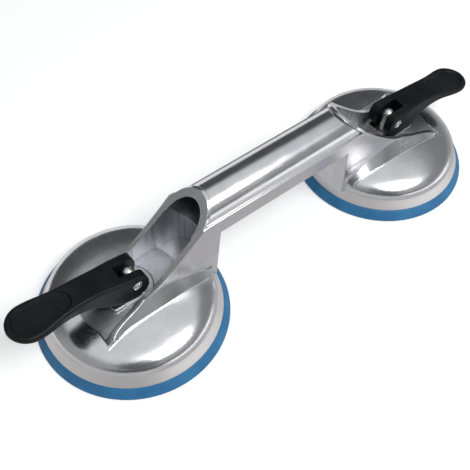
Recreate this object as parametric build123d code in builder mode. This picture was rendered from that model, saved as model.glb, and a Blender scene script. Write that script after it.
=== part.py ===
from build123d import *
import math
import os

# Twin-cup vacuum suction lifter.
# Frame: millimetres, +Z up, +X along the grip, origin on the floor plane midway between the cups.
# The left cup sits at -X, the right cup at +X.
# In names and tables, u runs from the left cup's axis towards the middle of the grip.

# ---------------------------------------------------------------- driving dimensions
HALF = 105.5            # cup axis to the middle of the grip
R_RUBBER = 60.0         # rubber disc radius
Z_RIM = 7.0             # underside of the metal rim
R_RIM = 55.7            # rim radius at its underside
Z_SEAT = 27.6           # flat seat on top of the dome, round the guide hole
R_CAVITY_BOSS = 8.6     # boss hanging from the cup cavity's ceiling
Z_CAVITY_BOSS = 19.0    # its underside
Z_CEILING = 23.4        # cup cavity ceiling round the boss
Z_GRIP = 59.0           # grip axis height
R_GRIP = 15.0           # grip tube outer radius
R_BORE = 12.3           # grip bore radius
Y_WALL = 15.9           # half width of necks and grip rails
RAIL_BOTTOM = 52.6      # grip rail lower edge
RAIL_TOP = 64.2         # grip rail upper ledge
NECK_R_LOW = 54.8       # neck back wall radius about the cup axis, at Z_RIM
NECK_R_HIGH = 57.4      # the same at the grip rails
HOOD_U = (-40, 68)      # hood block extent before it is trimmed
FOOT_R = 51.2           # the foot is trimmed to this radius about the cup axis
FOOT_U = (-31, 51)      # and to this extent
FOOT_BOTTOM = 12.0      # underside of those trims
POCKET_Y = 14.2         # pocket half width at its floor; its grip end is a half circle
POCKET_U = 35.7         # centre of that half circle
POCKET_DRAFT = 2.0      # pocket wall draft, degrees
Z_POCKET = 25.4         # pocket floor
FOOT_Z = 25.9           # height at which the foot cavity's plan outline is taken
FOOT_TAPER = 45.8       # foot cavity side slope from vertical, degrees
FOOT_CAVITY_RISE = 8.0  # height of its sloping part
BEAD = 0.8              # mouth bead, proud of the side walls
BEAD_TOP = 1.2          # the same over the grip
BEAD_DEPTH = 1.7        # mouth bead, along the hood
BEAD_BOTTOM = 24.0      # lower end of the bead's section
RIB_R = 0.5             # raised line along the foot's crease
RIB_SINK = 0.08         # its centre below the dome surface

BUSH_R = 6.5
GUIDE_R = BUSH_R + 0.02     # guide hole in the housing
STUD_R = 4.0
STUD_FIT = 0.01         # radial gap of the parts fixed on the stud
RUN = 0.05              # running clearance, radial
SEAT_GAP = 0.05         # gap between parts that touch along Z
STACK_GAP = 0.02        # gap below the washer and below the nut
PIN_R = 2.25
PIN_HALF = 10.0         # pin half length
CHEEK_Y = 10.3          # lever half width at the fork
SLOT_Y = 4.35           # fork slot half width
PLATE_TOP = 29.0        # wear plate top
PLATE_T = 1.2

CLOSED_PIN_Z = 40.5     # pin height with the lever fully closed
CLOSED_INSERT_Z = 8.5   # underside of the pad insert, likewise
CLOSED_TILT = -7.5      # lever tilt when closed, degrees above horizontal, outwards
CAM_RATE = 2.23         # stud drop in mm per radian of lever lift
CAM_GAP = 0.12          # running gap between cam and wear plate
REST_SLOPE = -3.6       # thumb rest floor, degrees from the lever's own axis
LEVER_TILT = {"left": 4.7, "right": -7.5}   # tilt of each lever as assembled


# ---------------------------------------------------------------- helpers
def side_plane(x, z=0):
    """Upright plane along the grip: local x = +X, local y = +Z."""
    return Plane(origin=(x, 0, z), x_dir=(1, 0, 0), z_dir=(0, -1, 0))


def cross_plane(x, z=0):
    """Upright plane across the grip: local x = +Y, local y = +Z, normal +X."""
    return Plane(origin=(x, 0, z), x_dir=(0, 1, 0), z_dir=(1, 0, 0))


def upright_axis(x):
    return Axis((x, 0, 0), (0, 0, 1))


def turned(profile, x):
    """Closed (radius, height) profile revolved about the upright axis at x."""
    with BuildPart() as body:
        with BuildSketch(side_plane(x)):
            with BuildLine():
                Polyline(*profile, close=True)
            make_face()
        revolve(axis=upright_axis(x))
    return body.part


def cap_middle(radius, height):
    """Middle point of a spherical cap's side arc, from its rim: (along radius, along axis)."""
    ball = (radius * radius + height * height) / (2 * height)
    half_angle = math.asin(radius / ball) / 2
    return ball * math.sin(half_angle), height - ball + ball * math.cos(half_angle)


def middle(span):
    return (span[0] + span[1]) / 2


def save(part, name):
    part.label = name
    export_step(part, "parts/" + name + ".step")


# ---------------------------------------------------------------- frame casting
# One half is made about the left cup, then mirrored.
CUP_SIDE = side_plane(-HALF)        # local x = u, local y = z
CUP_AXIS = upright_axis(-HALF)

# Side profile (u, z) of the oblique mouth: everything on its outer side is open.
MOUTH = [
    (57.5, 81.0), (52.6, 75.2), (48.2, 70.6), (44.0, 66.7), (39.6, 62.6), (35.0, 58.3),
    (30.0, 53.8), (25.0, 49.5), (20.0, 45.4), (15.0, 41.5), (10.0, 38.1), (4.6, 35.2),
    (-1.0, 32.9), (-6.5, 31.3), (-12.0, 30.1), (-18.0, 28.9), (-25.0, 27.3), (-31.0, 25.0),
    (-37.0, 21.5),
]
MOUTH_BEADED = 13       # the bead runs down the first of these points

# Dome profile (radius, height), from the top of the rim band to the seat
DOME = [
    (51.7, 12.2), (52.0, 15.0), (51.1, 17.6), (48.4, 20.3), (44.0, 22.7), (37.0, 24.6),
    (28.0, 25.85), (14.4, 26.9),
]

# Flared foot sections: u, y and z where the flank meets the dome,
# and z where it runs into the neck's side wall. The flank dies away towards the grip.
FLANK = [
    (-46, 23.5, 25.9, 33.3), (-22, 23.5, 25.9, 33.3), (0, 23.4, 25.9, 33.4),
    (18, 22.6, 25.8, 33.2), (28, 22.0, 24.9, 30.6), (37, 21.0, 23.2, 26.6),
    (46, 19.2, 19.2, 21.6), (51, 17.6, 15.9, 17.6),
]

# Plan (u, y) of the foot cavity
FOOT_CAVITY = [(-46, -20.3), (-5, -20.3), (12, -13), (12, 13), (-5, 20.3), (-46, 20.3)]

# Cup cavity profile (radius, height), round the hanging boss
CUP_CAVITY = [
    (R_CAVITY_BOSS, 2), (51.0, 2), (51.0, 5.4), (48.2, 12.4), (48.2, 15.6), (46.6, 17.8),
    (43.2, 19.8), (37.0, 21.4), (28.0, 22.6), (14.0, Z_CEILING), (R_CAVITY_BOSS, Z_CEILING),
]


def make_foot():
    with BuildPart() as foot:
        for u, y, z, z_wall in FLANK:
            # the flank's line is carried past both its ends
            steep = (z_wall - z) / (y - Y_WALL)
            y_low, z_low = y + 1.5, z - 1.5 * steep
            y_top, z_top = Y_WALL - 0.9, z_wall + 0.9 * steep
            with BuildSketch(cross_plane(-HALF + u)):
                with BuildLine():
                    Polyline((-y_low, 11), (y_low, 11), (y_low, z_low), (y_top, z_top),
                             (-y_top, z_top), (-y_low, z_low), close=True)
                make_face()
        loft()
        # the foot never stands outside the dome's shoulder
        with BuildSketch(Plane(origin=(-HALF, 0, FOOT_BOTTOM))):
            Circle(FOOT_R)
        extrude(amount=30, mode=Mode.INTERSECT)
        with BuildSketch(Plane(origin=(-HALF, 0, FOOT_BOTTOM))):
            with Locations((middle(FOOT_U), 0)):
                Rectangle(FOOT_U[1] - FOOT_U[0], 60)
        extrude(amount=30, mode=Mode.INTERSECT)
    return foot.part


def make_hood():
    """Solid neck and foot, before the mouth and pockets are cut."""
    # the neck's drafted back wall is turned about the cup axis
    limit = turned([(0, Z_RIM), (NECK_R_LOW, Z_RIM), (NECK_R_HIGH, RAIL_BOTTOM),
                    (NECK_R_HIGH + 0.8, 66), (0, 66)], -HALF)
    foot = make_foot()

    def is_neck_corner(edge):
        centre = edge.center()
        return (edge.length > 30 and centre.X > -HALF + 45
                and abs(abs(centre.Y) - Y_WALL) < 0.1 and abs(edge.tangent_at(0.5).Z) > 0.9)

    with BuildPart() as hood:
        with BuildSketch(Plane(origin=(-HALF, 0, Z_RIM))):
            with Locations((middle(HOOD_U), 0)):
                Rectangle(HOOD_U[1] - HOOD_U[0], 2 * Y_WALL)
        extrude(amount=RAIL_TOP - 1.2 - Z_RIM)
        add(limit, mode=Mode.INTERSECT)
        fillet(hood.edges().filter_by(is_neck_corner), 1.2)
        add(foot)
    return hood.part


def make_grip():
    """Half of the solid grip: a tube blank with a flat rail along each side."""
    def is_lower_rail_edge(edge):
        return abs(edge.center().Z - RAIL_BOTTOM) < 0.1 and abs(edge.center().Y) > 15

    with BuildPart() as grip:
        with BuildSketch(cross_plane(0)):
            with Locations((0, Z_GRIP)):
                Circle(R_GRIP)
            with Locations((0, (RAIL_BOTTOM + RAIL_TOP) / 2)):
                Rectangle(2 * Y_WALL, RAIL_TOP - RAIL_BOTTOM)
        extrude(amount=-(HALF + 5))
        # long edges of the rails are softly rounded
        fillet(grip.edges().filter_by(Axis.X).group_by(Axis.Z)[-1], 0.9)
        fillet(grip.edges().filter_by(Axis.X).filter_by(is_lower_rail_edge), 0.7)
    return grip.part


def make_mouth_cut():
    with BuildPart() as mouth_cut:
        with BuildSketch(CUP_SIDE):
            with BuildLine():
                Spline(*MOUTH)
                Polyline(MOUTH[-1], (-60, 21.5), (-60, 100), (57.5, 100), MOUTH[0])
            make_face()
        extrude(amount=40, both=True)
    return mouth_cut.part


def make_bead():
    """Band just inside the mouth, standing proud of the hood."""
    inner = []
    for i, (u, z) in enumerate(MOUTH):
        before = MOUTH[max(i - 1, 0)]
        after = MOUTH[min(i + 1, len(MOUTH) - 1)]
        du, dz = after[0] - before[0], after[1] - before[1]
        chord = math.hypot(du, dz)
        inner.append((u - dz / chord * BEAD_DEPTH, z + du / chord * BEAD_DEPTH))

    half_width = Y_WALL + BEAD
    shoulder = RAIL_TOP + 1.0
    with BuildPart() as bead:
        with BuildSketch(cross_plane(-HALF)):
            with Locations((0, Z_GRIP)):
                Circle(R_GRIP + BEAD_TOP + 0.3)
            with Locations((0, (shoulder + BEAD_BOTTOM) / 2)):
                Rectangle(2 * half_width, shoulder - BEAD_BOTTOM)
            side_corners = vertices().filter_by(lambda v: abs(v.X) > half_width - 0.1)
            fillet(side_corners.group_by(Axis.Y)[-1], 0.9)
        extrude(amount=62)
        with BuildSketch(CUP_SIDE):
            with BuildLine():
                Spline(*MOUTH[:MOUTH_BEADED])
                Line(MOUTH[MOUTH_BEADED - 1], inner[MOUTH_BEADED - 1])
                Spline(*inner[:MOUTH_BEADED])
                Line(inner[0], MOUTH[0])
            make_face()
        extrude(amount=40, both=True, mode=Mode.INTERSECT)
    return bead.part


def make_pocket():
    """Pocket with drafted walls, round-ended towards the grip."""
    with BuildPart() as pocket:
        with BuildSketch(Plane(origin=(-HALF, 0, Z_POCKET))):
            with BuildLine():
                Polyline((POCKET_U, POCKET_Y), (-60, POCKET_Y),
                         (-60, -POCKET_Y), (POCKET_U, -POCKET_Y))
                ThreePointArc((POCKET_U, -POCKET_Y), (POCKET_U + POCKET_Y, 0),
                              (POCKET_U, POCKET_Y))
            make_face()
        extrude(amount=Z_GRIP - Z_POCKET, taper=POCKET_DRAFT)
    return pocket.part


def make_foot_pocket():
    """The pocket opens out into the foot under the lever: sloping sides over a straight base."""
    with BuildPart() as foot_pocket:
        for z, rise, taper in ((FOOT_Z, FOOT_CAVITY_RISE, FOOT_TAPER),
                               (Z_POCKET, FOOT_Z - Z_POCKET, 0)):
            with BuildSketch(Plane(origin=(-HALF, 0, z))):
                with BuildLine():
                    Polyline(*FOOT_CAVITY, close=True)
                make_face()
                fillet(vertices().group_by(Axis.X)[1], 12)
            extrude(amount=rise, taper=taper)
    return foot_pocket.part


def make_bore():
    with BuildPart() as bore:
        with BuildSketch(cross_plane(0, Z_GRIP)):
            Circle(R_BORE)
        extrude(amount=-(HALF + 70))
    return bore.part


def make_cup():
    """Solid rim, dome and seat."""
    with BuildPart() as cup:
        with BuildSketch(CUP_SIDE):
            with BuildLine():
                Polyline((0, Z_RIM), (R_RIM, Z_RIM), DOME[0])
                Spline(*DOME, tangents=((0.25, 1.0), (-1.0, 0.05)), tangent_scalars=(0.5, 0.5))
                Polyline(DOME[-1], (13.6, Z_SEAT), (0, Z_SEAT), (0, Z_RIM))
            make_face()
        revolve(axis=CUP_AXIS)
    return cup.part


def dome_height(radius):
    """Dome height at a radius, along straight lines between the profile points."""
    for (r1, z1), (r2, z2) in zip(DOME[1:], DOME[2:]):
        if r2 <= radius <= r1:
            return z1 + (z2 - z1) * (r1 - radius) / (r1 - r2)


def crease_points():
    """Points (u, y, z) where the flank meets the dome, found by bisection on y."""
    points = []
    for u, y, z, z_wall in [(-32,) + FLANK[1][1:]] + FLANK[1:-1]:
        low, high = Y_WALL, y + 4.0
        for _ in range(40):
            mid = (low + high) / 2
            flank_z = z + (mid - y) * (z_wall - z) / (Y_WALL - y)
            if flank_z > dome_height(math.hypot(u, mid)):
                low = mid
            else:
                high = mid
        points.append((u, low, dome_height(math.hypot(u, low))))
    return points


def make_crease_line():
    """Fine raised line along the crease between flank and dome, on both sides."""
    crease = crease_points()
    with BuildPart() as crease_line:
        for way in (-1, 1):
            with BuildLine() as path:
                Spline(*[(-HALF + u, way * y, z - RIB_SINK) for u, y, z in crease])
            with BuildSketch(Plane(origin=path.line @ 0, z_dir=path.line % 0)):
                Circle(RIB_R)
            sweep(path=path.line)
    return crease_line.part


def make_cup_cavity():
    with BuildPart() as cup_cavity:
        with BuildSketch(CUP_SIDE):
            with BuildLine():
                Polyline(*CUP_CAVITY, close=True)
            make_face()
            # shallower part under the boss
            with BuildLine():
                Polyline((0, 2), (R_CAVITY_BOSS, 2), (R_CAVITY_BOSS, Z_CAVITY_BOSS),
                         (0, Z_CAVITY_BOSS), close=True)
            make_face()
        revolve(axis=CUP_AXIS)
    return cup_cavity.part


def make_frame_casting():
    # the order matters: the cup fills in again what the pockets cut
    steps = [
        (make_hood(), Mode.ADD),
        (make_grip(), Mode.ADD),
        (make_mouth_cut(), Mode.SUBTRACT),
        (make_bead(), Mode.ADD),
        (make_pocket(), Mode.SUBTRACT),
        (make_foot_pocket(), Mode.SUBTRACT),
        (make_bore(), Mode.SUBTRACT),
        (make_cup(), Mode.ADD),
        (make_crease_line(), Mode.ADD),
        (make_cup_cavity(), Mode.SUBTRACT),
    ]
    with BuildPart() as half_frame:
        for body, mode in steps:
            add(body, mode=mode)
        with Locations((-HALF, 0, 0)):
            Cylinder(GUIDE_R, 60, align=(Align.CENTER, Align.CENTER, Align.MIN),
                     mode=Mode.SUBTRACT)

    with BuildPart() as frame_casting:
        add(half_frame.part)
        mirror(half_frame.part, about=Plane.YZ)
    return frame_casting.part


# ---------------------------------------------------------------- the two vacuum heads
INSERT_T = 2.0          # pad insert disc thickness
INSERT_H = 5.0          # pad insert height with its boss
INSERT_BOSS_R = 8.0
NUT_T = 3.6
WASHER_T = 1.0
WIRE_R = 0.8            # return spring wire radius
SPRING_R = 10.0         # return spring coil radius
SPRING_TURNS = 4.0
STUD_CAP = 2.6          # height of the stud's domed head
PIN_CAP = 0.9           # height of the pin's domed ends
COUNTERBORE = 1.4       # depth of the counterbore in each cheek


class Head:
    """Where one vacuum head stands and how far its stud has been drawn."""

    def __init__(self, side):
        self.sign = -1 if side == "left" else 1     # outwards along X
        self.x = self.sign * HALF
        raised = -CAM_RATE * math.radians(LEVER_TILT[side] - CLOSED_TILT)
        self.pin_z = CLOSED_PIN_Z + raised
        self.insert_z = CLOSED_INSERT_Z + raised
        self.washer_z = self.insert_z + INSERT_T + STACK_GAP
        self.tilt = math.radians(LEVER_TILT[side])
        self.side = side_plane(self.x)
        self.axis = upright_axis(self.x)
        self.pin_axis = Axis((self.x, 0, self.pin_z), (0, 1, 0))


def make_rubber_pad(head):
    """Flat sealing lip, bevelled outer edge, thin middle."""
    top = Z_RIM - SEAT_GAP
    return turned([(0, 1.2), (48.5, 1.2), (50.5, 0), (R_RUBBER - 0.4, 0), (R_RUBBER, 0.5),
                   (R_RUBBER - 0.3, 1.3), (56.6, Z_RIM - 0.9), (55.6, top), (50.0, top),
                   (46.0, 3.6), (0, 3.6)], head.x)


def make_pad_insert(head):
    """Disc on the back of the rubber, with six holes and a central boss."""
    low = head.insert_z
    disc_top, top = low + INSERT_T, low + INSERT_H
    hole_r = STUD_R + STUD_FIT
    with BuildPart() as pad_insert:
        with BuildSketch(head.side):
            with BuildLine():
                Polyline((hole_r, low), (23, low), (23, disc_top - 0.4), (22.6, disc_top),
                         (INSERT_BOSS_R, disc_top), (INSERT_BOSS_R, top - 0.4),
                         (INSERT_BOSS_R - 0.4, top), (hole_r, top), close=True)
            make_face()
        revolve(axis=head.axis)
        with Locations(Location((head.x, 0, low))):
            with PolarLocations(17, 6):
                Cylinder(1.8, 6, mode=Mode.SUBTRACT)
    return pad_insert.part


def make_draw_stud(head):
    """Round rod with a domed head and a cross hole for the pin."""
    low = head.insert_z + 0.2
    neck = head.pin_z + 3.2
    top = neck + STUD_CAP
    cap_r, cap_z = cap_middle(STUD_R, STUD_CAP)
    with BuildPart() as draw_stud:
        with BuildSketch(head.side):
            with BuildLine():
                Polyline((0, low), (STUD_R - 0.5, low), (STUD_R, low + 0.5), (STUD_R, neck))
                ThreePointArc((STUD_R, neck), (cap_r, neck + cap_z), (0, top))
                Line((0, top), (0, low))
            make_face()
        revolve(axis=head.axis)
        with BuildSketch(side_plane(head.x, head.pin_z)):
            Circle(PIN_R + RUN)
        extrude(amount=8, both=True, mode=Mode.SUBTRACT)
    return draw_stud.part


def make_stud_nut(head):
    """Hexagon nut on the insert's boss, its corners bevelled by a turned envelope."""
    low = head.insert_z + INSERT_H + STACK_GAP
    top = low + NUT_T
    with BuildPart() as stud_nut:
        with BuildSketch(Plane(origin=(head.x, 0, low))):
            RegularPolygon(6.5, 6, major_radius=False)
            Circle(STUD_R + STUD_FIT, mode=Mode.SUBTRACT)
        extrude(amount=NUT_T)
        with BuildSketch(head.side):
            with BuildLine():
                Polyline((0, low), (6.6, low), (7.6, low + 0.58), (7.6, top - 0.62),
                         (6.6, top), (0, top), close=True)
            make_face()
        revolve(axis=head.axis, mode=Mode.INTERSECT)
    return stud_nut.part


def make_spring_washer(head):
    """Flat washer round the insert's boss, under the spring."""
    with BuildPart() as spring_washer:
        with BuildSketch(Plane(origin=(head.x, 0, head.washer_z))):
            Circle(12.4)
            Circle(INSERT_BOSS_R + 0.05, mode=Mode.SUBTRACT)
        extrude(amount=WASHER_T)
    return spring_washer.part


def make_return_spring(head):
    """Spring between the washer and the housing's ceiling, its ends ground flat."""
    low = head.washer_z + WASHER_T + SEAT_GAP
    high = Z_CEILING - SEAT_GAP
    coil_low = low + WIRE_R - 0.15
    coil_h = high - WIRE_R + 0.15 - coil_low
    with BuildPart() as return_spring:
        with BuildLine():
            Helix(pitch=coil_h / SPRING_TURNS, height=coil_h, radius=SPRING_R,
                  center=(head.x, 0, coil_low))
        with BuildSketch(Plane(origin=(head.x + SPRING_R, 0, coil_low), z_dir=(0, 1, 0))):
            Circle(WIRE_R)
        sweep(is_frenet=True)
        with BuildSketch(Plane(origin=(head.x, 0, low))):
            Circle(13)
        extrude(amount=high - low, mode=Mode.INTERSECT)
    return return_spring.part


def make_guide_bush(head):
    """Bush up through the housing, its flange under the ceiling boss."""
    bore_r = STUD_R + RUN
    flange_top = Z_CAVITY_BOSS - SEAT_GAP
    flange_low = flange_top - 1.0
    top = PLATE_TOP - SEAT_GAP
    return turned([(bore_r, flange_low), (8.2, flange_low), (8.2, flange_top),
                   (BUSH_R, flange_top), (BUSH_R, top - 0.4), (BUSH_R - 0.4, top),
                   (bore_r + 0.4, top), (bore_r, top - 0.4)], head.x)


def make_wear_plate(head):
    """Thin plate under the cheeks, with rounded corners, reaching further outwards."""
    plan = Plane(origin=(head.x, 0, PLATE_TOP - PLATE_T), x_dir=(head.sign, 0, 0),
                 z_dir=(0, 0, 1))
    with BuildPart() as wear_plate:
        with BuildSketch(plan):
            with Locations((5.4, 0)):
                RectangleRounded(23.6, 20.0, 2.0)
            Circle(BUSH_R + 0.1, mode=Mode.SUBTRACT)
        extrude(amount=PLATE_T)
        chamfer(wear_plate.faces().sort_by(Axis.Z)[-1].outer_wire().edges(), 0.25)
    return wear_plate.part


def make_pivot_pin(head):
    """Pin with domed ends: one half turned, then mirrored."""
    cap_r, cap_y = cap_middle(PIN_R, PIN_CAP)
    shoulder = PIN_HALF - 0.5
    tip = shoulder + PIN_CAP
    with BuildPart() as pivot_pin:
        with BuildSketch(cross_plane(head.x, head.pin_z)):
            with BuildLine():
                Polyline((0, 0), (0, PIN_R), (shoulder, PIN_R))
                ThreePointArc((shoulder, PIN_R), (shoulder + cap_y, cap_r), (tip, 0))
                Line((tip, 0), (0, 0))
            make_face()
        revolve(axis=head.pin_axis)
        mirror(about=Plane.XZ)
    return pivot_pin.part


def make_pin_washers(head):
    """Retaining rings, one in each cheek's counterbore."""
    hole_r = PIN_R + 0.02
    floor = CHEEK_Y - COUNTERBORE + 0.02
    with BuildPart() as pin_washers:
        with BuildSketch(cross_plane(head.x, head.pin_z)):
            with BuildLine():
                Polyline((floor, hole_r), (CHEEK_Y - 0.45, hole_r),
                         (CHEEK_Y - 0.1, PIN_R + 0.4), (CHEEK_Y - 0.15, 3.05),
                         (CHEEK_Y - 0.5, 3.35), (floor, 3.35), close=True)
            make_face()
        revolve(axis=head.pin_axis)
        mirror(about=Plane.XZ)
    return pin_washers.part


# ---------------------------------------------------------------- levers
# Lever tables are about the pin: s outwards along the lever, h up from it.
# Back of the cam (s, h), from the last cam point up to the crown
CAM_BACK = [(-7.1, 2.4), (-5.4, 5.4), (-2.4, 7.1)]
# Crowned top (s, h)
LEVER_TOP = [(-2.4, 7.1), (12, 8.8), (24, 10.2), (34, 10.4), (46, 9.6), (58, 8.5), (68, 8.1),
             (77, 8.3)]
# Underside (s, h), from the paddle's end back to the skirt; the cam's heel ends it
LEVER_UNDERSIDE = [(77, 4.2), (66, 3.7), (52, 3.1), (44, 2.7), (37, 1.6), (30, -0.6),
                   (23.5, -4.3), (18.5, -7.6)]
# Plan (s, half width), from the pin to the paddle
LEVER_WIDTH = [(0, CHEEK_Y), (10, 9.9), (20, 9.1), (30, 8.9), (40, 9.3), (48, 10.2),
               (56, 11.6), (62, 12.1)]
# Hollow between the skirts (s, h)
LEVER_HOLLOW = [(13.0, -20), (13.0, 5.0), (24, 7.0), (36, 7.3), (46, 6.6), (52, 5.9),
                (53.5, 4.5), (55, -20)]
HEEL_FLAT = 10.5        # flat from the cam's start to its heel
LEVER_BACK = -14        # plan end behind the pin
FORK_SLOT = (-16.5, 8.5)    # fork slot extent along s


def cam_outline():
    """Cam points (s, h), 5 degrees of lever lift apart, and the heel that the flat runs to."""
    pin_to_plate = CLOSED_PIN_Z - PLATE_TOP - CAM_GAP
    cam = []
    for i in range(22):
        turn = math.radians(5.0 * i)
        support = pin_to_plate - CAM_RATE * turn
        angle = math.radians(-90 - CLOSED_TILT) - turn
        cam.append((support * math.cos(angle) - CAM_RATE * math.sin(angle),
                    support * math.sin(angle) + CAM_RATE * math.cos(angle)))
    flat_angle = math.radians(-CLOSED_TILT)
    heel = (cam[0][0] + HEEL_FLAT * math.cos(flat_angle),
            cam[0][1] + HEEL_FLAT * math.sin(flat_angle))
    return cam, heel


def tilted(sign, angle):
    """Outward and upward directions at an angle above horizontal."""
    return ((sign * math.cos(angle), 0, math.sin(angle)),
            (-sign * math.sin(angle), 0, math.cos(angle)))


def make_lever(head):
    """Forked cam end, deep skirt sweeping up to a thin rounded paddle."""
    cam, heel = cam_outline()
    out, up = tilted(head.sign, head.tilt)
    rest_out, rest_up = tilted(head.sign, head.tilt + math.radians(REST_SLOPE))
    pivot = Vector(head.x, 0, head.pin_z)
    side = Plane(origin=pivot, x_dir=out, z_dir=(0, -head.sign, 0))
    plan = Plane(origin=pivot, x_dir=out, z_dir=up)
    rest = Plane(origin=plan.from_local_coords((54.5, 0, 7.85)), x_dir=rest_out, z_dir=rest_up)
    dimple = Plane(origin=plan.from_local_coords((31.0, 0, 9.9)), x_dir=out, z_dir=up)

    def is_long_side_edge(edge):
        return edge.length > 20 and abs(side.to_local_coords(edge.center()).Z) > 6

    with BuildPart() as lever:
        with BuildSketch(side):
            with BuildLine():
                Spline(*cam)
                Spline(cam[-1], *CAM_BACK, tangents=((0.13, 0.99), (0.97, 0.25)))
                Spline(*LEVER_TOP, tangents=((0.99, 0.12), (1, 0.05)))
                Line(LEVER_TOP[-1], LEVER_UNDERSIDE[0])
                Spline(*LEVER_UNDERSIDE, heel, tangents=((-1, -0.05), (-0.80, -0.60)))
                Line(heel, cam[0])
            make_face()
        extrude(amount=14, both=True)
        with BuildSketch(plan):
            with BuildLine():
                Line((LEVER_BACK, CHEEK_Y), (0, CHEEK_Y))
                Spline(*LEVER_WIDTH, tangents=((1, 0), (1, 0)))
                ThreePointArc((62, 12.1), (71.5, 8.4), (75.2, 0))
                ThreePointArc((75.2, 0), (71.5, -8.4), (62, -12.1))
                Spline(*[(s, -w) for s, w in reversed(LEVER_WIDTH)],
                       tangents=((-1, 0), (-1, 0)))
                Line((0, -CHEEK_Y), (LEVER_BACK, -CHEEK_Y))
                Line((LEVER_BACK, -CHEEK_Y), (LEVER_BACK, CHEEK_Y))
            make_face()
        extrude(amount=30, both=True, mode=Mode.INTERSECT)
        # long edges are well rounded
        fillet(lever.edges().filter_by(is_long_side_edge), 1.6)
        # hollow underside between the skirts
        with BuildSketch(side):
            with BuildLine():
                Polyline(*LEVER_HOLLOW, close=True)
            make_face()
        extrude(amount=5.8, both=True, mode=Mode.SUBTRACT)
        # fork slot, open towards the grip
        with BuildSketch(plan):
            with Locations((middle(FORK_SLOT), 0)):
                Rectangle(FORK_SLOT[1] - FORK_SLOT[0], 2 * SLOT_Y)
        extrude(amount=30, both=True, mode=Mode.SUBTRACT)
        # pin hole and a counterbore in each cheek
        with BuildSketch(side):
            Circle(PIN_R + 0.01)
        extrude(amount=20, both=True, mode=Mode.SUBTRACT)
        for way in (-1, 1):
            floor = pivot + Vector(0, way * (CHEEK_Y - COUNTERBORE), 0)
            with BuildSketch(Plane(origin=floor, x_dir=out, z_dir=(0, way, 0))):
                Circle(3.5)
            extrude(amount=6, mode=Mode.SUBTRACT)
        # broad thumb rest sunk in the paddle, following its rounded end
        with BuildSketch(rest):
            with BuildLine():
                Line((-11.5, 6.2), (7.0, 8.2))
                ThreePointArc((7.0, 8.2), (14.0, 5.6), (16.6, 0))
                ThreePointArc((16.6, 0), (14.0, -5.6), (7.0, -8.2))
                Line((7.0, -8.2), (-11.5, -6.2))
                ThreePointArc((-11.5, -6.2), (-16.8, 0), (-11.5, 6.2))
            make_face()
        extrude(amount=5, taper=-35, mode=Mode.SUBTRACT)
        # small round recess between the rest and the pin
        with BuildSketch(dimple):
            Circle(1.1)
        extrude(amount=3, mode=Mode.SUBTRACT)
    return lever.part


# ---------------------------------------------------------------- build and write
HEAD_PIECES = {
    "rubber_pad": make_rubber_pad,
    "pad_insert": make_pad_insert,
    "draw_stud": make_draw_stud,
    "stud_nut": make_stud_nut,
    "spring_washer": make_spring_washer,
    "return_spring": make_return_spring,
    "guide_bush": make_guide_bush,
    "wear_plate": make_wear_plate,
    "pivot_pin": make_pivot_pin,
    "pin_washers": make_pin_washers,
    "lever": make_lever,
}

os.makedirs("parts", exist_ok=True)
save(make_frame_casting(), "frame_casting")
for side_name in LEVER_TILT:
    for piece, make in HEAD_PIECES.items():
        save(make(Head(side_name)), side_name + "_" + piece)
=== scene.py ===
import math

import bmesh
import bpy
from mathutils import Matrix, Vector


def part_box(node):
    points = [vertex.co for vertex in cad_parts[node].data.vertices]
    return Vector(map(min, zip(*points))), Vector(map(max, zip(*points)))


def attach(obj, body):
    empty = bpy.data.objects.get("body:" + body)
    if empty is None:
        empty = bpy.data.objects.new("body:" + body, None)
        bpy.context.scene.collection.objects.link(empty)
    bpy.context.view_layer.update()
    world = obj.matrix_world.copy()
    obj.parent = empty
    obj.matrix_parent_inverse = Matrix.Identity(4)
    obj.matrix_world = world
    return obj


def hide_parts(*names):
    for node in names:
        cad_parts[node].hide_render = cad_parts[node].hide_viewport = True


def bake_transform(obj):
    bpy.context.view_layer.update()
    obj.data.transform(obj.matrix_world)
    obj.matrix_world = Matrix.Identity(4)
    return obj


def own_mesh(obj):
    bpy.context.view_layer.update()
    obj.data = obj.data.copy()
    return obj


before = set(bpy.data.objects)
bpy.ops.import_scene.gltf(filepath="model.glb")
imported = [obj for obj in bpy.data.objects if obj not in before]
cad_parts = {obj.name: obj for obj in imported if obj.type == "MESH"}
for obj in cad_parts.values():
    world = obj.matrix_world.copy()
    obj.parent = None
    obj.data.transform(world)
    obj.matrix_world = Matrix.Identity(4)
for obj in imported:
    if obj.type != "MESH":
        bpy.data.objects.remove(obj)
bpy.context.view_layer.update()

MM = 0.001
CUP_X = 105.5                    # each cup's axis, from the middle
SIDES = (("left", -1), ("right", 1))

scene = bpy.context.scene


# ------------------------------------------------------------------ shader nodes
def arithmetic(operation, swapped=False):
    """A Value method that makes one math node."""
    def method(self, *others):
        terms = (self, *others)
        if swapped:
            terms = terms[::-1]
        return self.tree.make("Math", dict(enumerate(terms)), operation=operation)
    return method


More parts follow.
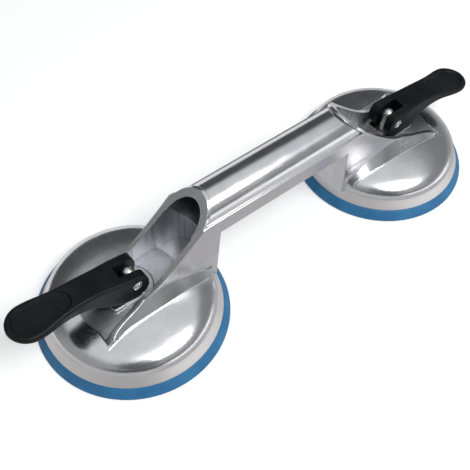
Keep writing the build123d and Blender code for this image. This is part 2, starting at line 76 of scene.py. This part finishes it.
class Value:
    """A node's output socket. Its methods add nodes that work on it."""

    def __init__(self, tree, socket):
        self.tree = tree
        self.socket = socket

    __add__ = arithmetic("ADD")
    __radd__ = arithmetic("ADD", swapped=True)
    __sub__ = arithmetic("SUBTRACT")
    __rsub__ = arithmetic("SUBTRACT", swapped=True)
    __mul__ = arithmetic("MULTIPLY")
    __truediv__ = arithmetic("DIVIDE")
    __abs__ = arithmetic("ABSOLUTE")
    sqrt = arithmetic("SQRT")
    sign = arithmetic("SIGN")
    most = arithmetic("MAXIMUM")

    def rise(self, low, high):
        """0 at low, 1 at high, smooth between. With low above high, it is a fall."""
        limits = {
            "Value": self,
            "From Min": min(low, high),
            "From Max": max(low, high),
            "To Min": float(low > high),
            "To Max": float(low <= high),
        }
        return self.tree.make("MapRange", limits, "Result",
                              interpolation_type="SMOOTHSTEP", clamp=True)

    def mix(self, first, second):
        """Two colours, mixed by this factor."""
        return self.tree.make("Mix", {"Factor": self, 6: first, 7: second}, 2, data_type="RGBA")

    def lerp(self, first, second):
        """Two numbers, mixed by this factor."""
        return self.tree.make("Mix", {"Factor": self, 2: first, 3: second}, data_type="FLOAT")

    def mottle(self, first, second):
        """Two colours, mixed by this noise with its contrast raised."""
        return self.rise(0.3, 0.7).mix(first, second)

    def coat(self, where, paint):
        """This colour with paint laid over it by a mask."""
        return where.mix(self, paint)

    def toward(self, where, value):
        """This number taken to another by a mask."""
        return where.lerp(self, value)

    def split(self):
        node = self.tree.node("SeparateXYZ", {0: self})
        return self.tree.values(node, 0, 1, 2)

    def dot(self, other):
        return self.tree.make("VectorMath", {0: self, 1: other}, "Value",
                              operation="DOT_PRODUCT")

    def turn(self, angles, stretch):
        """Rotated and stretched coordinates, for scratches and brushed grain."""
        inputs = {"Vector": self, "Rotation": angles, "Scale": stretch}
        return self.tree.make("Mapping", inputs, vector_type="POINT")

    def noise(self, scale=1.0, detail=3.0, rough=0.6, warp=0.0):
        """Noise 0..1 with features about 1/scale apart."""
        inputs = {
            "Vector": self,
            "Scale": scale,
            "Detail": detail,
            "Roughness": rough,
            "Distortion": warp,
        }
        return self.tree.make("TexNoise", inputs, "Fac")

    def cells(self, scale, output="Distance"):
        return self.tree.make("TexVoronoi", {"Vector": self, "Scale": scale}, output)

    def specks(self, scale, size, patch_scale, patch):
        """Small dots, gathered in patches. size and patch are rise limits."""
        dots = self.cells(scale).rise(*size)
        return dots * self.noise(patch_scale, detail=2.0, rough=0.5).rise(*patch)

    def scratches(self, tilt=0.0, fine=1.6, share=0.60):
        """Thin hairlines in three directions, 0..1. A higher share leaves fewer."""
        total = None
        for i, (spin, lean) in enumerate(((0.35, 0.2), (1.45, -0.5), (2.5, 0.9))):
            along = self.turn((lean, spin * 0.3 + tilt, spin), (0.05, fine, fine))
            line = along.noise(detail=1.5, rough=0.5, warp=0.25)
            mark = line.rise(share + 0.02, share + 0.09)
            patch = self.noise(scale=0.045, detail=1.0, rough=0.5).rise(0.42 + 0.04 * i, 0.62)
            mark = mark * patch
            total = mark if total is None else total.most(mark)
        return total


def hypot(a, b):
    return (a * a + b * b).sqrt()


class Tree:
    """The node tree of a material or world, cleared and filled again."""

    def __init__(self, owner):
        owner.use_nodes = True
        self.nodes = owner.node_tree.nodes
        self.links = owner.node_tree.links
        self.nodes.clear()

    def put(self, socket, value):
        if isinstance(value, Value):
            self.links.new(value.socket, socket)
        elif isinstance(value, tuple) and len(value) == 3 and len(socket.default_value) == 4:
            socket.default_value = (*value, 1.0)
        else:
            socket.default_value = value

    def node(self, kind, inputs=None, **settings):
        node = self.nodes.new("ShaderNode" + kind)
        for name, setting in settings.items():
            setattr(node, name, setting)
        for key, value in (inputs or {}).items():
            self.put(node.inputs[key], value)
        return node

    def values(self, node, *outputs):
        return [Value(self, node.outputs[key]) for key in outputs]

    def make(self, kind, inputs=None, output=0, **settings):
        """A new node's output as a Value."""
        return self.values(self.node(kind, inputs, **settings), output)[0]

    def join(self, x, y, z):
        return self.make("CombineXYZ", {0: x, 1: y, 2: z})

    def point(self):
        """Object coordinates in millimetres."""
        metres = self.make("TexCoord", output="Object")
        return self.make("VectorMath", {0: metres, "Scale": 1000.0}, operation="SCALE")

    def normal(self):
        return self.make("NewGeometry", output="Normal")

    def rounded(self, radius, samples):
        """The normal with edges rounded over."""
        return self.make("Bevel", {"Radius": radius * MM}, samples=samples)

    def edges(self, rounded, low=0.995, high=0.93):
        """1 where the rounded normal leaves the true one, which is at sharp edges."""
        return rounded.dot(self.normal()).rise(low, high)

    def crevice_shade(self, color, reach, onset, full, share, paint):
        """Painted shade gathered in the crevices, by ambient occlusion over reach."""
        openness = self.make("AmbientOcclusion", {"Distance": reach * MM}, "AO", samples=6)
        return color.coat(where=openness.rise(onset, full) * share, paint=paint)

    def bump(self, height, base=None):
        inputs = {"Strength": 1.0, "Distance": MM, "Height": height}
        if base is not None:
            inputs["Normal"] = base
        return self.make("Bump", inputs)

    def surface(self, color, rough, normal, metallic=1.0, specular=0.5):
        inputs = {
            "Base Color": color,
            "Roughness": rough,
            "Metallic": metallic,
            "Normal": normal,
            "Specular IOR Level": specular,
        }
        self.node("OutputMaterial", {0: self.make("BsdfPrincipled", inputs)})


def cup_coordinates(point):
    """x, y, z, then the distance inboard of the nearer cup's axis and the radius about it."""
    x, y, z = point.split()
    inboard = CUP_X - abs(x)
    return x, y, z, inboard, hypot(inboard, y)


# ------------------------------------------------------------------ finishes
# In every finish, factors in the rough sum are roughness, and those in height are millimetres.
def cast_aluminium(tree):
    """Polished casting: bright outside, satin rim, linished lip, duller as-cast inside."""
    point = tree.point()
    x, y, z, inboard, radius = cup_coordinates(point)
    normal_x, normal_y, normal_z = tree.normal().split()
    across = abs(y)
    outwards = normal_x * x.sign()

    # Areas of the casting. Limits on lengths are where each area fades in or out.
    pocket_run = 35.7            # the pocket's straight part, inboard of the cup's axis
    pocket_floor = 25.4
    wall_draft = 0.035
    bore_z = 59.0
    past = (inboard - pocket_run).most(0.0)
    wall_gap = hypot(past, y) + (z - pocket_floor) * wall_draft
    in_pocket = wall_gap.rise(14.34, 14.26) * z.rise(59.3, 58.9) * z.rise(25.2, 25.36)
    bore_radius = (y * y + (z - bore_z) * (z - bore_z)).sqrt()
    in_bore = bore_radius.rise(12.42, 12.36)
    inside = in_pocket.most(in_bore)
    foot_slope = 1.03            # the foot narrows by this much for each millimetre of height
    in_foot = ((across + (z - 25.9).most(0.0) * foot_slope).rise(21.2, 20.9)
               * z.rise(25.3, 25.38) * z.rise(34.0, 33.5)
               * radius.rise(40.0, 36.0) * inboard.rise(16.0, 13.0))
    shelf = in_pocket.most(in_foot) * normal_z.rise(0.90, 0.97) * z.rise(27.2, 26.2)
    under = normal_z.rise(0.3, 0.1) * radius.rise(50.9, 50.7) * z.rise(24.2, 23.8)
    rim = z.rise(12.45, 12.15) * radius.rise(50.9, 51.5) * (1.0 - under)
    lip = (outwards.rise(0.18, 0.32) * abs(normal_y).rise(0.42, 0.25) * z.rise(28.2, 29.2)
           * (1.0 - inside) * (1.0 - in_foot) * across.rise(17.8, 17.5))
    # the neck faces turned towards -Y: painted shade in the colour, and a rougher finish
    shaded_front_neck = normal_y.rise(-0.80, -0.95) * z.rise(31.0, 35.0)

    clouds = point.noise(scale=0.06, rough=0.55)
    grain = point.noise(scale=1.1, detail=4.0)
    sand = point.noise(scale=2.2, detail=5.0, rough=0.65)
    marks = point.scratches()
    hairs = point.scratches(tilt=0.7, fine=3.2, share=0.62)
    pits = point.specks(scale=0.42, size=(0.13, 0.04), patch_scale=0.11, patch=(0.56, 0.70))
    # the linishing belt runs along the lip, and the rim is turned
    belt = point.turn(angles=(0, 0.75, 0), stretch=(0.10, 2.6, 0.10)).noise()
    turned = tree.join(z * 5.0, radius * 0.4, 0.0).noise(detail=2.0, rough=0.5)
    # painted reflection: tall light and dark streaks down the inner walls and over the foot
    upright = tree.join(inboard * 0.55 + y * 0.2, y * 0.75, z * 0.012)
    reflection_streak = upright.noise(detail=2.0, rough=0.5)

    color = clouds.mottle((0.76, 0.772, 0.80), (0.845, 0.85, 0.87))
    color = color.coat(where=marks * 0.18, paint=(0.62, 0.62, 0.63))
    # painted shade: the neck faces turned towards -Y are darkened a little
    color = color.coat(where=shaded_front_neck * 0.6, paint=(0.74, 0.71, 0.73))
    color = color.coat(where=lip, paint=belt.mottle((0.68, 0.685, 0.71), (0.84, 0.845, 0.86)))
    color = color.coat(where=rim, paint=turned.mottle((0.94, 0.905, 0.905), (0.99, 0.96, 0.96)))
    color = color.coat(where=inside,
                       paint=sand.mottle((0.50, 0.505, 0.545), (0.61, 0.615, 0.655)))
    # painted reflection: light streaks down the inner walls, dark ones down the walls and over the
    # foot
    color = color.coat(where=inside * reflection_streak.rise(0.52, 0.60) * 0.25, paint=(0.66, 0.665, 0.69))
    color = color.coat(where=inside.most(in_foot) * reflection_streak.rise(0.45, 0.38) * 0.40,
                       paint=(0.27, 0.275, 0.30))
    # painted dark reflection: the flat upward faces of the pocket floor and foot are darkened
    color = color.coat(where=shelf * 0.85,
                       paint=clouds.mottle((0.43, 0.44, 0.45), (0.51, 0.52, 0.535)))
    # painted shade: the inside of the handle's bore is darkened nearly to black
    color = color.coat(where=in_bore * 0.6, paint=(0.20, 0.21, 0.22))
    color = color.coat(where=under, paint=sand.mottle((0.36, 0.36, 0.37), (0.50, 0.50, 0.51)))
    color = color.coat(where=pits * 0.6, paint=(0.25, 0.25, 0.26))
    # painted shade: the casting is darkened in its crevices and corners
    color = tree.crevice_shade(color, reach=4.0, onset=0.75, full=0.30, share=0.5,
                       paint=(0.16, 0.16, 0.175))
    rounded = tree.rounded(radius=0.35, samples=5)
    edge = tree.edges(rounded)
    # painted highlight: the sharp edges are lightened
    color = color.coat(where=edge * 0.5, paint=(0.93, 0.93, 0.94))

    rough = 0.135 + clouds * 0.075 + grain * 0.03
    rough = rough + marks * 0.10 + hairs * 0.06 + pits * 0.25
    rough = rough.toward(where=shaded_front_neck * 0.8, value=0.30)
    rough = rough.toward(where=lip, value=0.20 + belt * 0.14)
    rough = rough.toward(where=rim, value=0.42 + turned * 0.10)
    rough = rough.toward(where=inside, value=0.42 + sand * 0.12)
    rough = rough.toward(where=shelf, value=0.36 + grain * 0.06)
    rough = rough.toward(where=under, value=0.50 + sand * 0.14)
    rough = rough.toward(where=edge * 0.5, value=0.16)

    # hand polishing leaves the outside gently wavy
    wave = (point.noise(scale=0.055, detail=1.5, rough=0.4) * 0.085
            + point.noise(scale=0.16, detail=1.0, rough=0.4) * 0.016)
    height = (wave * (1.0 - inside) - marks * 0.0022 - hairs * 0.0010 - pits * 0.03
              + grain * 0.0015)
    height = (height + (lip * belt) * 0.010 + (rim * turned) * 0.006
              + (inside.most(under) * (1.0 - shelf) * sand) * 0.025)
    tree.surface(color, rough, tree.bump(height, rounded))


def pad_rubber(tree):
    """Saturated blue moulded rubber with faint bloom."""
    point = tree.point()
    _, _, z, _, radius = cup_coordinates(point)
    clouds = point.noise(scale=0.07)
    bloom = point.noise(scale=0.35, detail=4.0, rough=0.65).rise(0.5, 0.8)
    grain = point.noise(scale=2.4, detail=4.0, rough=0.65)
    rings = tree.join(radius * 1.4, z * 1.4, 0.0).noise(detail=2.0, rough=0.5)
    specks = point.specks(scale=0.55, size=(0.13, 0.05), patch_scale=0.2, patch=(0.5, 0.62))

    color = clouds.mottle((0.020, 0.150, 0.335), (0.030, 0.190, 0.400))
    color = color.coat(where=bloom * 0.16, paint=(0.16, 0.32, 0.46))
    color = color.coat(where=specks * 0.25, paint=(0.45, 0.52, 0.58))
    # painted shade: the rubber is darkened in its crevices and grooves
    color = tree.crevice_shade(color, reach=3.0, onset=0.7, full=0.25, share=0.6,
                       paint=(0.008, 0.045, 0.10))
    rounded = tree.rounded(radius=0.3, samples=4)
    edge = tree.edges(rounded, low=0.99, high=0.90)
    # painted highlight: the rubber's sharp edges are a lighter blue
    color = color.coat(where=edge * 0.30, paint=(0.09, 0.30, 0.50))

    rough = 0.44 + grain * 0.14 + bloom * 0.10
    height = grain * 0.012 + rings * 0.02 + clouds * 0.03 - specks * 0.01
    tree.surface(color, rough, tree.bump(height, rounded), metallic=0.0, specular=0.45)


def lever_plastic(tree):
    """Black glass-filled nylon: satin, faintly mottled, rubbed at the edges."""
    point = tree.point()
    clouds = point.noise(scale=0.09)
    stipple = point.noise(scale=2.6, detail=4.0)
    along = point.turn(angles=(0, 0, 0.1), stretch=(0.03, 0.22, 0.22))
    flow = along.noise(rough=0.55, warp=0.4)
    marks = point.scratches(tilt=0.3, fine=2.4)
    dust = point.specks(scale=0.30, size=(0.085, 0.03), patch_scale=0.13, patch=(0.5, 0.6))

    color = clouds.mottle((0.0040, 0.0045, 0.0055), (0.0080, 0.0090, 0.0100))
    color = color.coat(where=flow.rise(0.55, 0.75) * 0.3, paint=(0.018, 0.020, 0.022))
    color = color.coat(where=marks * 0.20, paint=(0.045, 0.047, 0.050))
    color = color.coat(where=dust * 0.5, paint=(0.25, 0.25, 0.25))
    rounded = tree.rounded(radius=0.45, samples=5)
    edge = tree.edges(rounded, low=0.985, high=0.90)
    worn = edge * point.noise(scale=0.5, rough=0.5).rise(0.35, 0.65)
    color = color.coat(where=worn * 0.30, paint=(0.06, 0.064, 0.068))

    rough = 0.33 + clouds * 0.10 + stipple * 0.08 + marks * 0.12
    height = stipple * 0.010 + flow * 0.05 + clouds * 0.05 - marks * 0.006
    tree.surface(color, rough, tree.bump(height, rounded), metallic=0.0, specular=0.22)


def bright_steel(tree):
    """Turned and polished steel: stud, pin, rings and wear plate."""
    point = tree.point()
    _, _, z, _, radius = cup_coordinates(point)
    turned = tree.join(radius * 4.0, z * 4.0, 0.0).noise(detail=2.0, rough=0.5)
    clouds = point.noise(scale=0.5)
    marks = point.scratches(tilt=0.1, fine=3.4, share=0.58)
    stain = point.noise(scale=0.28, detail=4.0).rise(0.55, 0.75)

    color = clouds.mottle((0.68, 0.685, 0.69), (0.80, 0.80, 0.80))
    color = color.coat(where=stain * 0.28, paint=(0.42, 0.38, 0.33))
    # painted shade: the steel is darkened in its crevices
    color = tree.crevice_shade(color, reach=2.0, onset=0.7, full=0.25, share=0.5,
                       paint=(0.13, 0.125, 0.12))
    rounded = tree.rounded(radius=0.22, samples=4)
    # painted highlight: the sharp edges are lightened
    color = color.coat(where=tree.edges(rounded) * 0.4, paint=(0.9, 0.9, 0.9))

    rough = 0.17 + clouds * 0.08 + turned * 0.06 + marks * 0.15 + stain * 0.12
    height = turned * 0.010 - marks * 0.005 + clouds * 0.006
    tree.surface(color, rough, tree.bump(height, rounded))


def plated_steel(tree):
    """Zinc-plated pressings and nut, a little yellow, faintly spangled."""
    point = tree.point()
    spangle = point.cells(scale=0.35, output="Color").split()[0]
    grain = point.noise(scale=1.6, detail=4.0)
    dull = point.noise(scale=0.14, detail=4.0).rise(0.42, 0.7)
    marks = point.scratches(tilt=0.5, fine=2.2)

    color = (spangle * 0.6 + grain * 0.4).mix((0.55, 0.55, 0.54), (0.70, 0.695, 0.66))
    color = color.coat(where=dull * 0.35, paint=(0.48, 0.455, 0.36))
    # painted shade: the plating is darkened in its crevices
    color = tree.crevice_shade(color, reach=2.5, onset=0.7, full=0.25, share=0.5,
                       paint=(0.14, 0.13, 0.11))
    rounded = tree.rounded(radius=0.25, samples=4)
    # painted highlight: the sharp edges are lightened
    color = color.coat(where=tree.edges(rounded) * 0.4, paint=(0.82, 0.82, 0.80))

    rough = 0.26 + grain * 0.10 + dull * 0.14 + marks * 0.12
    height = grain * 0.008 + spangle * 0.006 - marks * 0.005
    tree.surface(color, rough, tree.bump(height, rounded))


def spring_steel(tree):
    """Drawn and oiled wire."""
    point = tree.point()
    draw = point.turn(angles=(0.2, 0.1, 0), stretch=(1.0, 1.0, 6.0)).noise()
    clouds = point.noise(scale=0.4)
    rust = point.noise(scale=0.9, detail=4.0, rough=0.65).rise(0.66, 0.78)

    color = clouds.mix((0.26, 0.265, 0.28), (0.48, 0.485, 0.50))
    color = color.coat(where=rust * 0.4, paint=(0.22, 0.11, 0.06))
    # painted shade: the wire is darkened between its turns
    color = tree.crevice_shade(color, reach=2.0, onset=0.6, full=0.2, share=0.4,
                       paint=(0.08, 0.08, 0.08))

    rough = 0.28 + draw * 0.14 + rust * 0.3
    tree.surface(color, rough, tree.bump(draw * 0.010 + clouds * 0.01))


finishes = {}
for build in (cast_aluminium, pad_rubber, lever_plastic, bright_steel, plated_steel,
              spring_steel):
    finish = bpy.data.materials.new("finish_" + build.__name__)
    build(Tree(finish))
    finishes[build.__name__] = finish

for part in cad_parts.values():
    for slot in part.material_slots:
        slot.material = finishes[slot.material.name.split(".")[0]]


# ------------------------------------------------------------------ mesh helpers
def finish_mesh(name, bm, finish, sharp_degrees):
    bmesh.ops.recalc_face_normals(bm, faces=bm.faces)
    mesh = bpy.data.meshes.new(name)
    bm.to_mesh(mesh)
    bm.free()
    mesh.materials.append(finishes[finish])
    mesh.shade_smooth()
    mesh.set_sharp_from_angle(angle=math.radians(sharp_degrees))
    made = bpy.data.objects.new(name, mesh)
    scene.collection.objects.link(made)
    return made


def skin(bm, row, next_row, count):
    """Faces between two closed rows of vertices. A row of one vertex is a pole."""
    for k in range(count):
        corners = [(row, k), (next_row, k), (next_row, k + 1), (row, k + 1)]
        verts = [verts_row[i % len(verts_row)] for verts_row, i in corners]
        bm.faces.new(list(dict.fromkeys(verts)))


def rounded_loop(stations, steps=4):
    """A closed outline of (x, y, corner radius), with its corners rounded."""
    outline = []
    points = [Vector(station[:2]) for station in stations]
    for i, corner in enumerate(points):
        back = points[i - 1] - corner
        ahead = points[(i + 1) % len(points)] - corner
        limit_back = 0.48 * back.length
        limit_ahead = 0.48 * ahead.length
        back.normalize()
        ahead.normalize()
        half_angle = math.acos(max(-1, min(1, back.dot(ahead)))) / 2
        cut = min(stations[i][2] / math.tan(half_angle), limit_back, limit_ahead)
        start = corner + back * cut
        end = corner + ahead * cut
        for step in range(steps + 1):
            f = step / steps
            outline.append(tuple(start.lerp(corner, f).lerp(corner.lerp(end, f), f)))
    return outline


def lathe_rubber(name, outline, centre_x, turns):
    """A closed (radius, height) outline, turned about a vertical axis."""
    bm = bmesh.new()
    rows = []
    for radius, z in outline:
        if radius < 1e-6:
            rows.append([bm.verts.new((centre_x * MM, 0, z * MM))])
            continue
        row = []
        for k in range(turns):
            angle = 2 * math.pi * k / turns
            x = centre_x + radius * math.cos(angle)
            y = radius * math.sin(angle)
            row.append(bm.verts.new((x * MM, y * MM, z * MM)))
        rows.append(row)
    for row, next_row in zip(rows, rows[1:] + rows[:1]):
        if len(row) > 1 or len(next_row) > 1:
            skin(bm, row, next_row, turns)
    return finish_mesh(name, bm, "pad_rubber", sharp_degrees=35.0)


# ------------------------------------------------------------------ rubber discs
# Each plain CAD disc becomes a flat sealing lip with fine grooves, and a thin middle
# drawn up to the insert, which sinks with the stud.
LIP_BOTTOM = 0.02


def groove(radius):
    """A groove in the lip's underside: radius, height, corner radius."""
    half_mouth, half_roof, roof_z, corner = 0.28, 0.16, 0.30, 0.08
    return [
        (radius - half_mouth, LIP_BOTTOM, corner), (radius - half_roof, roof_z, corner),
        (radius + half_roof, roof_z, corner), (radius + half_mouth, LIP_BOTTOM, corner),
    ]


# radius, height, corner radius: outwards along the underside, then back over the top
LIP_STATIONS = [
    (46.6, 1.55, 0.3), (48.9, 1.15, 0.6), (50.4, LIP_BOTTOM, 0.5),
    *groove(52.6), *groove(54.7), *groove(56.8),
    (59.65, LIP_BOTTOM, 0.35), (59.98, 0.62, 0.35), (59.55, 1.50, 0.5),
    (58.1, 3.9, 1.6), (56.5, 6.05, 0.8), (55.5, 6.88, 0.4),
    (50.1, 6.88, 0.6), (47.4, 4.70, 1.0), (46.6, 3.45, 0.3),
]

MIDDLE_RADIUS = 47.6
MIDDLE_STEPS = 28
MIDDLE_EDGE = [(48.1, 2.9), (48.1, 1.9)]     # radius, height
MIDDLE_TOP, MIDDLE_BOTTOM = 3.6, 1.35        # heights before it is drawn up
MIDDLE_MAX_TOP = 6.9
INSERT_GAP = 0.04


def slope_fraction(radius, start, width):
    return min(1.0, max(0.0, (radius - start) / width))


def drawn_share(fraction):
    """1 at the slope's inner end, easing to 0 at its outer end."""
    return 1 - fraction * fraction * (3 - 2 * fraction)


def middle_outline(top):
    rise = top - MIDDLE_TOP
    upper, lower = [], []
    for i in range(MIDDLE_STEPS + 1):
        radius = MIDDLE_RADIUS * i / MIDDLE_STEPS
        fraction = slope_fraction(radius, start=22.0, width=24.0)
        upper.append((radius, MIDDLE_TOP + rise * drawn_share(fraction) - 0.12 * fraction))
        lift = rise * drawn_share(slope_fraction(radius, start=19.0, width=26.5))
        # low concentric ridges under the slope
        ridge = 0.22 * math.sin((radius - 24) * 0.9) ** 2 if 24 < radius < 45 else 0.0
        lower.append((radius, MIDDLE_BOTTOM + lift + ridge))
    return upper + MIDDLE_EDGE + lower[::-1]


def build_pad(side, centre_x):
    lip = lathe_rubber(side + "_rubber_lip", rounded_loop(LIP_STATIONS), centre_x, turns=288)
    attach(lip, "frame")
    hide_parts(side + "_rubber_pad")

    insert_low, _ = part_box(side + "_pad_insert")
    top = min(insert_low.z / MM - INSERT_GAP, MIDDLE_MAX_TOP)
    middle = lathe_rubber(side + "_rubber_middle", middle_outline(top), centre_x, turns=192)
    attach(middle, "frame")
    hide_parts(side + "_rubber_pad")
    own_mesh(middle)


# ------------------------------------------------------------------ return springs
# A coil that stretches between the housing's ceiling and the stud's washer as the stud sinks.
WIRE_RADIUS = 0.8
COIL_RADIUS = 10.0
COILS = 4
RINGS_PER_COIL = 40
WIRE_SIDES = 14
GROUND_END = 0.02                # the flat ends lie this far inside the CAD spring's box


def build_spring(side, centre_x):
    low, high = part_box(side + "_return_spring")
    bottom, top = low.z / MM, high.z / MM
    first_z, last_z = bottom + WIRE_RADIUS, top - WIRE_RADIUS
    up = Vector((0, 0, 1))
    bm = bmesh.new()
    rows = []
    ring_steps = COILS * RINGS_PER_COIL
    for i in range(ring_steps + 1):
        f = i / ring_steps
        angle = 2 * math.pi * COILS * f
        # the end turns lie flatter than the middle ones
        ease = min(1.0, f * 7) * min(1.0, (1 - f) * 7)
        climb = f + 0.02 * math.sin(2 * math.pi * (f - 0.5)) * ease
        outward = Vector((math.cos(angle), math.sin(angle), 0))
        centre = Vector((centre_x + COIL_RADIUS * math.cos(angle),
                         COIL_RADIUS * math.sin(angle),
                         first_z + (last_z - first_z) * climb))
        row = []
        for k in range(WIRE_SIDES):
            around = 2 * math.pi * k / WIRE_SIDES
            v = (centre + outward * (WIRE_RADIUS * math.cos(around))
                 + up * (WIRE_RADIUS * math.sin(around)))
            v.z = min(max(v.z, bottom + GROUND_END), top - GROUND_END)
            row.append(bm.verts.new(v * MM))
        rows.append(row)
    for row, next_row in zip(rows, rows[1:]):
        skin(bm, row, next_row, WIRE_SIDES)
    bm.faces.new(rows[0][::-1])
    bm.faces.new(rows[-1])
    coil = finish_mesh(side + "_coil_spring", bm, "spring_steel", sharp_degrees=50)
    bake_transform(coil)
    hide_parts(side + "_return_spring")


for build in (build_pad, build_spring):
    for side, sign in SIDES:
        build(side, sign * CUP_X)


# ------------------------------------------------------------------ floor
FLOOR_HALF = 6.0                             # metres
FLOOR_Z = -0.0002                            # metres
FLOOR_NEAR, FLOOR_FAR = 0.50, 0.85           # brightness seen in metal, at -Y and +Y


def floor_material():
    material = bpy.data.materials.new("pale_floor")
    tree = Tree(material)
    position, backfacing = tree.values(tree.node("NewGeometry"), "Position", "Backfacing")
    camera_ray, glossy_ray, ray_length = tree.values(
        tree.node("LightPath"), "Is Camera Ray", "Is Glossy Ray", "Ray Length")

    diffuse = tree.make("BsdfDiffuse", {"Color": (0.86, 0.86, 0.86)})
    glow = tree.make("Emission", {"Color": (1.0, 1.0, 1.0),
                                  "Strength": camera_ray * 0.30 + 0.04})
    pale = tree.make("AddShader", {0: diffuse, 1: glow})

    # in the metal the floor reads as a grey sheet, brighter behind the part
    x, y, _ = position.split()
    behind = (y - x * 0.15).rise(-0.02, 0.22)
    sheet = tree.make("Emission", {
        "Color": (1.0, 0.985, 0.985),
        "Strength": FLOOR_NEAR + behind * (FLOOR_FAR - FLOOR_NEAR),
    })
    seen = tree.make("MixShader", {0: glossy_ray, 1: pale, 2: sheet})

    # clear from below, and to the discs' undersides a hair above it, so they still get light
    touching = (1.0 - camera_ray) * ray_length.rise(0.0030, 0.0015)
    clear = tree.make("BsdfTransparent")
    mixed = tree.make("MixShader", {0: touching.most(backfacing), 1: seen, 2: clear})
    tree.node("OutputMaterial", {0: mixed})
    return material


def build_floor():
    mesh = bpy.data.meshes.new("floor")
    corners = [(x * FLOOR_HALF, y * FLOOR_HALF, 0) for x, y in ((-1, -1), (1, -1), (1, 1), (-1, 1))]
    mesh.from_pydata(corners, [], [(0, 1, 2, 3)])
    floor = bpy.data.objects.new("floor", mesh)
    floor.location = (0, 0, FLOOR_Z)
    scene.collection.objects.link(floor)
    mesh.materials.append(floor_material())


# ------------------------------------------------------------------ studio
# Azimuths run from +Y towards +X and elevations up from the floor, in degrees.
def cosd(angle):
    return math.cos(math.radians(angle))


def sind(angle):
    return math.sin(math.radians(angle))


def direction(azimuth, elevation):
    return Vector((sind(azimuth) * cosd(elevation), cosd(azimuth) * cosd(elevation),
                   sind(elevation)))


# azimuth, half-widths where the panel starts and is full, its elevation edges (start, full),
# brightness. Later panels lie over earlier ones.
PANELS = (
    (8, (78, 38), ((52, 40),), 0.075),             # dark wall at +Y
    (192, (62, 34), ((4, 8), (24, 18)), 0.06),     # dark band low at -Y
    (104, (48, 26), ((12, 20), (58, 48)), 0.22),   # dim wall at +X
    (172, (62, 36), ((44, 50), (76, 66)), 0.95),   # bright box high at -Y
    (148, (46, 26), ((-12, -4), (16, 9)), 1.25),   # bright box low, between -Y and +X
)
WALLS, CEILING = 0.33, 0.66
VIEWER_LEVEL = 0.10              # dark patch towards the camera's side


def build_world():
    world = bpy.data.worlds.new("studio")
    scene.world = world
    tree = Tree(world)
    ray = tree.make("TexCoord", output="Generated")
    x, y, z = ray.split()
    flat = hypot(x, y).most(0.001)

    level = z.rise(sind(40), sind(60)).lerp(WALLS, CEILING)
    for azimuth, (start, full), edges, brightness in PANELS:
        heading = (x * sind(azimuth) + y * cosd(azimuth)) / flat
        panel = heading.rise(cosd(start), cosd(full))
        for edge_start, edge_full in edges:
            panel = panel * z.rise(sind(edge_start), sind(edge_full))
        level = level.toward(where=panel, value=brightness)
    viewer = ray.dot(direction(azimuth=-150, elevation=40)).rise(cosd(22), cosd(13))
    level = level.toward(where=viewer, value=VIEWER_LEVEL)

    # the camera itself sees plain white
    camera_ray = tree.make("LightPath", output="Is Camera Ray")
    background = tree.make("Background", {
        "Color": camera_ray.mix((0.975, 0.992, 1.0), (1.0, 1.0, 1.0)),
        "Strength": camera_ray.lerp(level, 1.0),
    })
    tree.node("OutputWorld", {0: background})


def build_key_light():
    aim, distance = Vector((0, 0, 0.03)), 1.6      # metres
    towards_light = direction(azimuth=168, elevation=60)
    light = bpy.data.lights.new("key_softbox", "AREA")
    light.shape = "RECTANGLE"
    light.size = 0.9
    light.size_y = 0.6
    light.energy = 14
    key = bpy.data.objects.new("key_softbox", light)
    key.location = aim + towards_light * distance
    key.rotation_mode = "QUATERNION"
    key.rotation_quaternion = (-towards_light).to_track_quat("-Z", "Y")
    scene.collection.objects.link(key)


def build_camera():
    lens = bpy.data.cameras.new("camera")
    lens.sensor_width = 36.0
    lens.lens = 55.7693617
    lens.clip_start = 0.01
    lens.clip_end = 30.0
    camera = bpy.data.objects.new("camera", lens)
    scene.collection.objects.link(camera)

    roll = -0.058                # radians
    back = Vector((-0.3787, -0.4354, 0.8167)).normalized()
    level_right = Vector((0.7545, -0.6563, 0.0)).normalized()
    level_up = back.cross(level_right)
    right = math.cos(roll) * level_right - math.sin(roll) * level_up
    up = math.sin(roll) * level_right + math.cos(roll) * level_up
    pose = Matrix((right, up, back)).transposed().to_4x4()
    pose.translation = Vector((-0.2045, -0.2052, 0.3961))
    camera.matrix_world = pose
    scene.camera = camera


build_floor()
build_world()
build_key_light()
build_camera()

scene.view_settings.view_transform = "Standard"
scene.view_settings.look = "None"
scene.view_settings.exposure = 0.0
scene.view_settings.gamma = 1.0
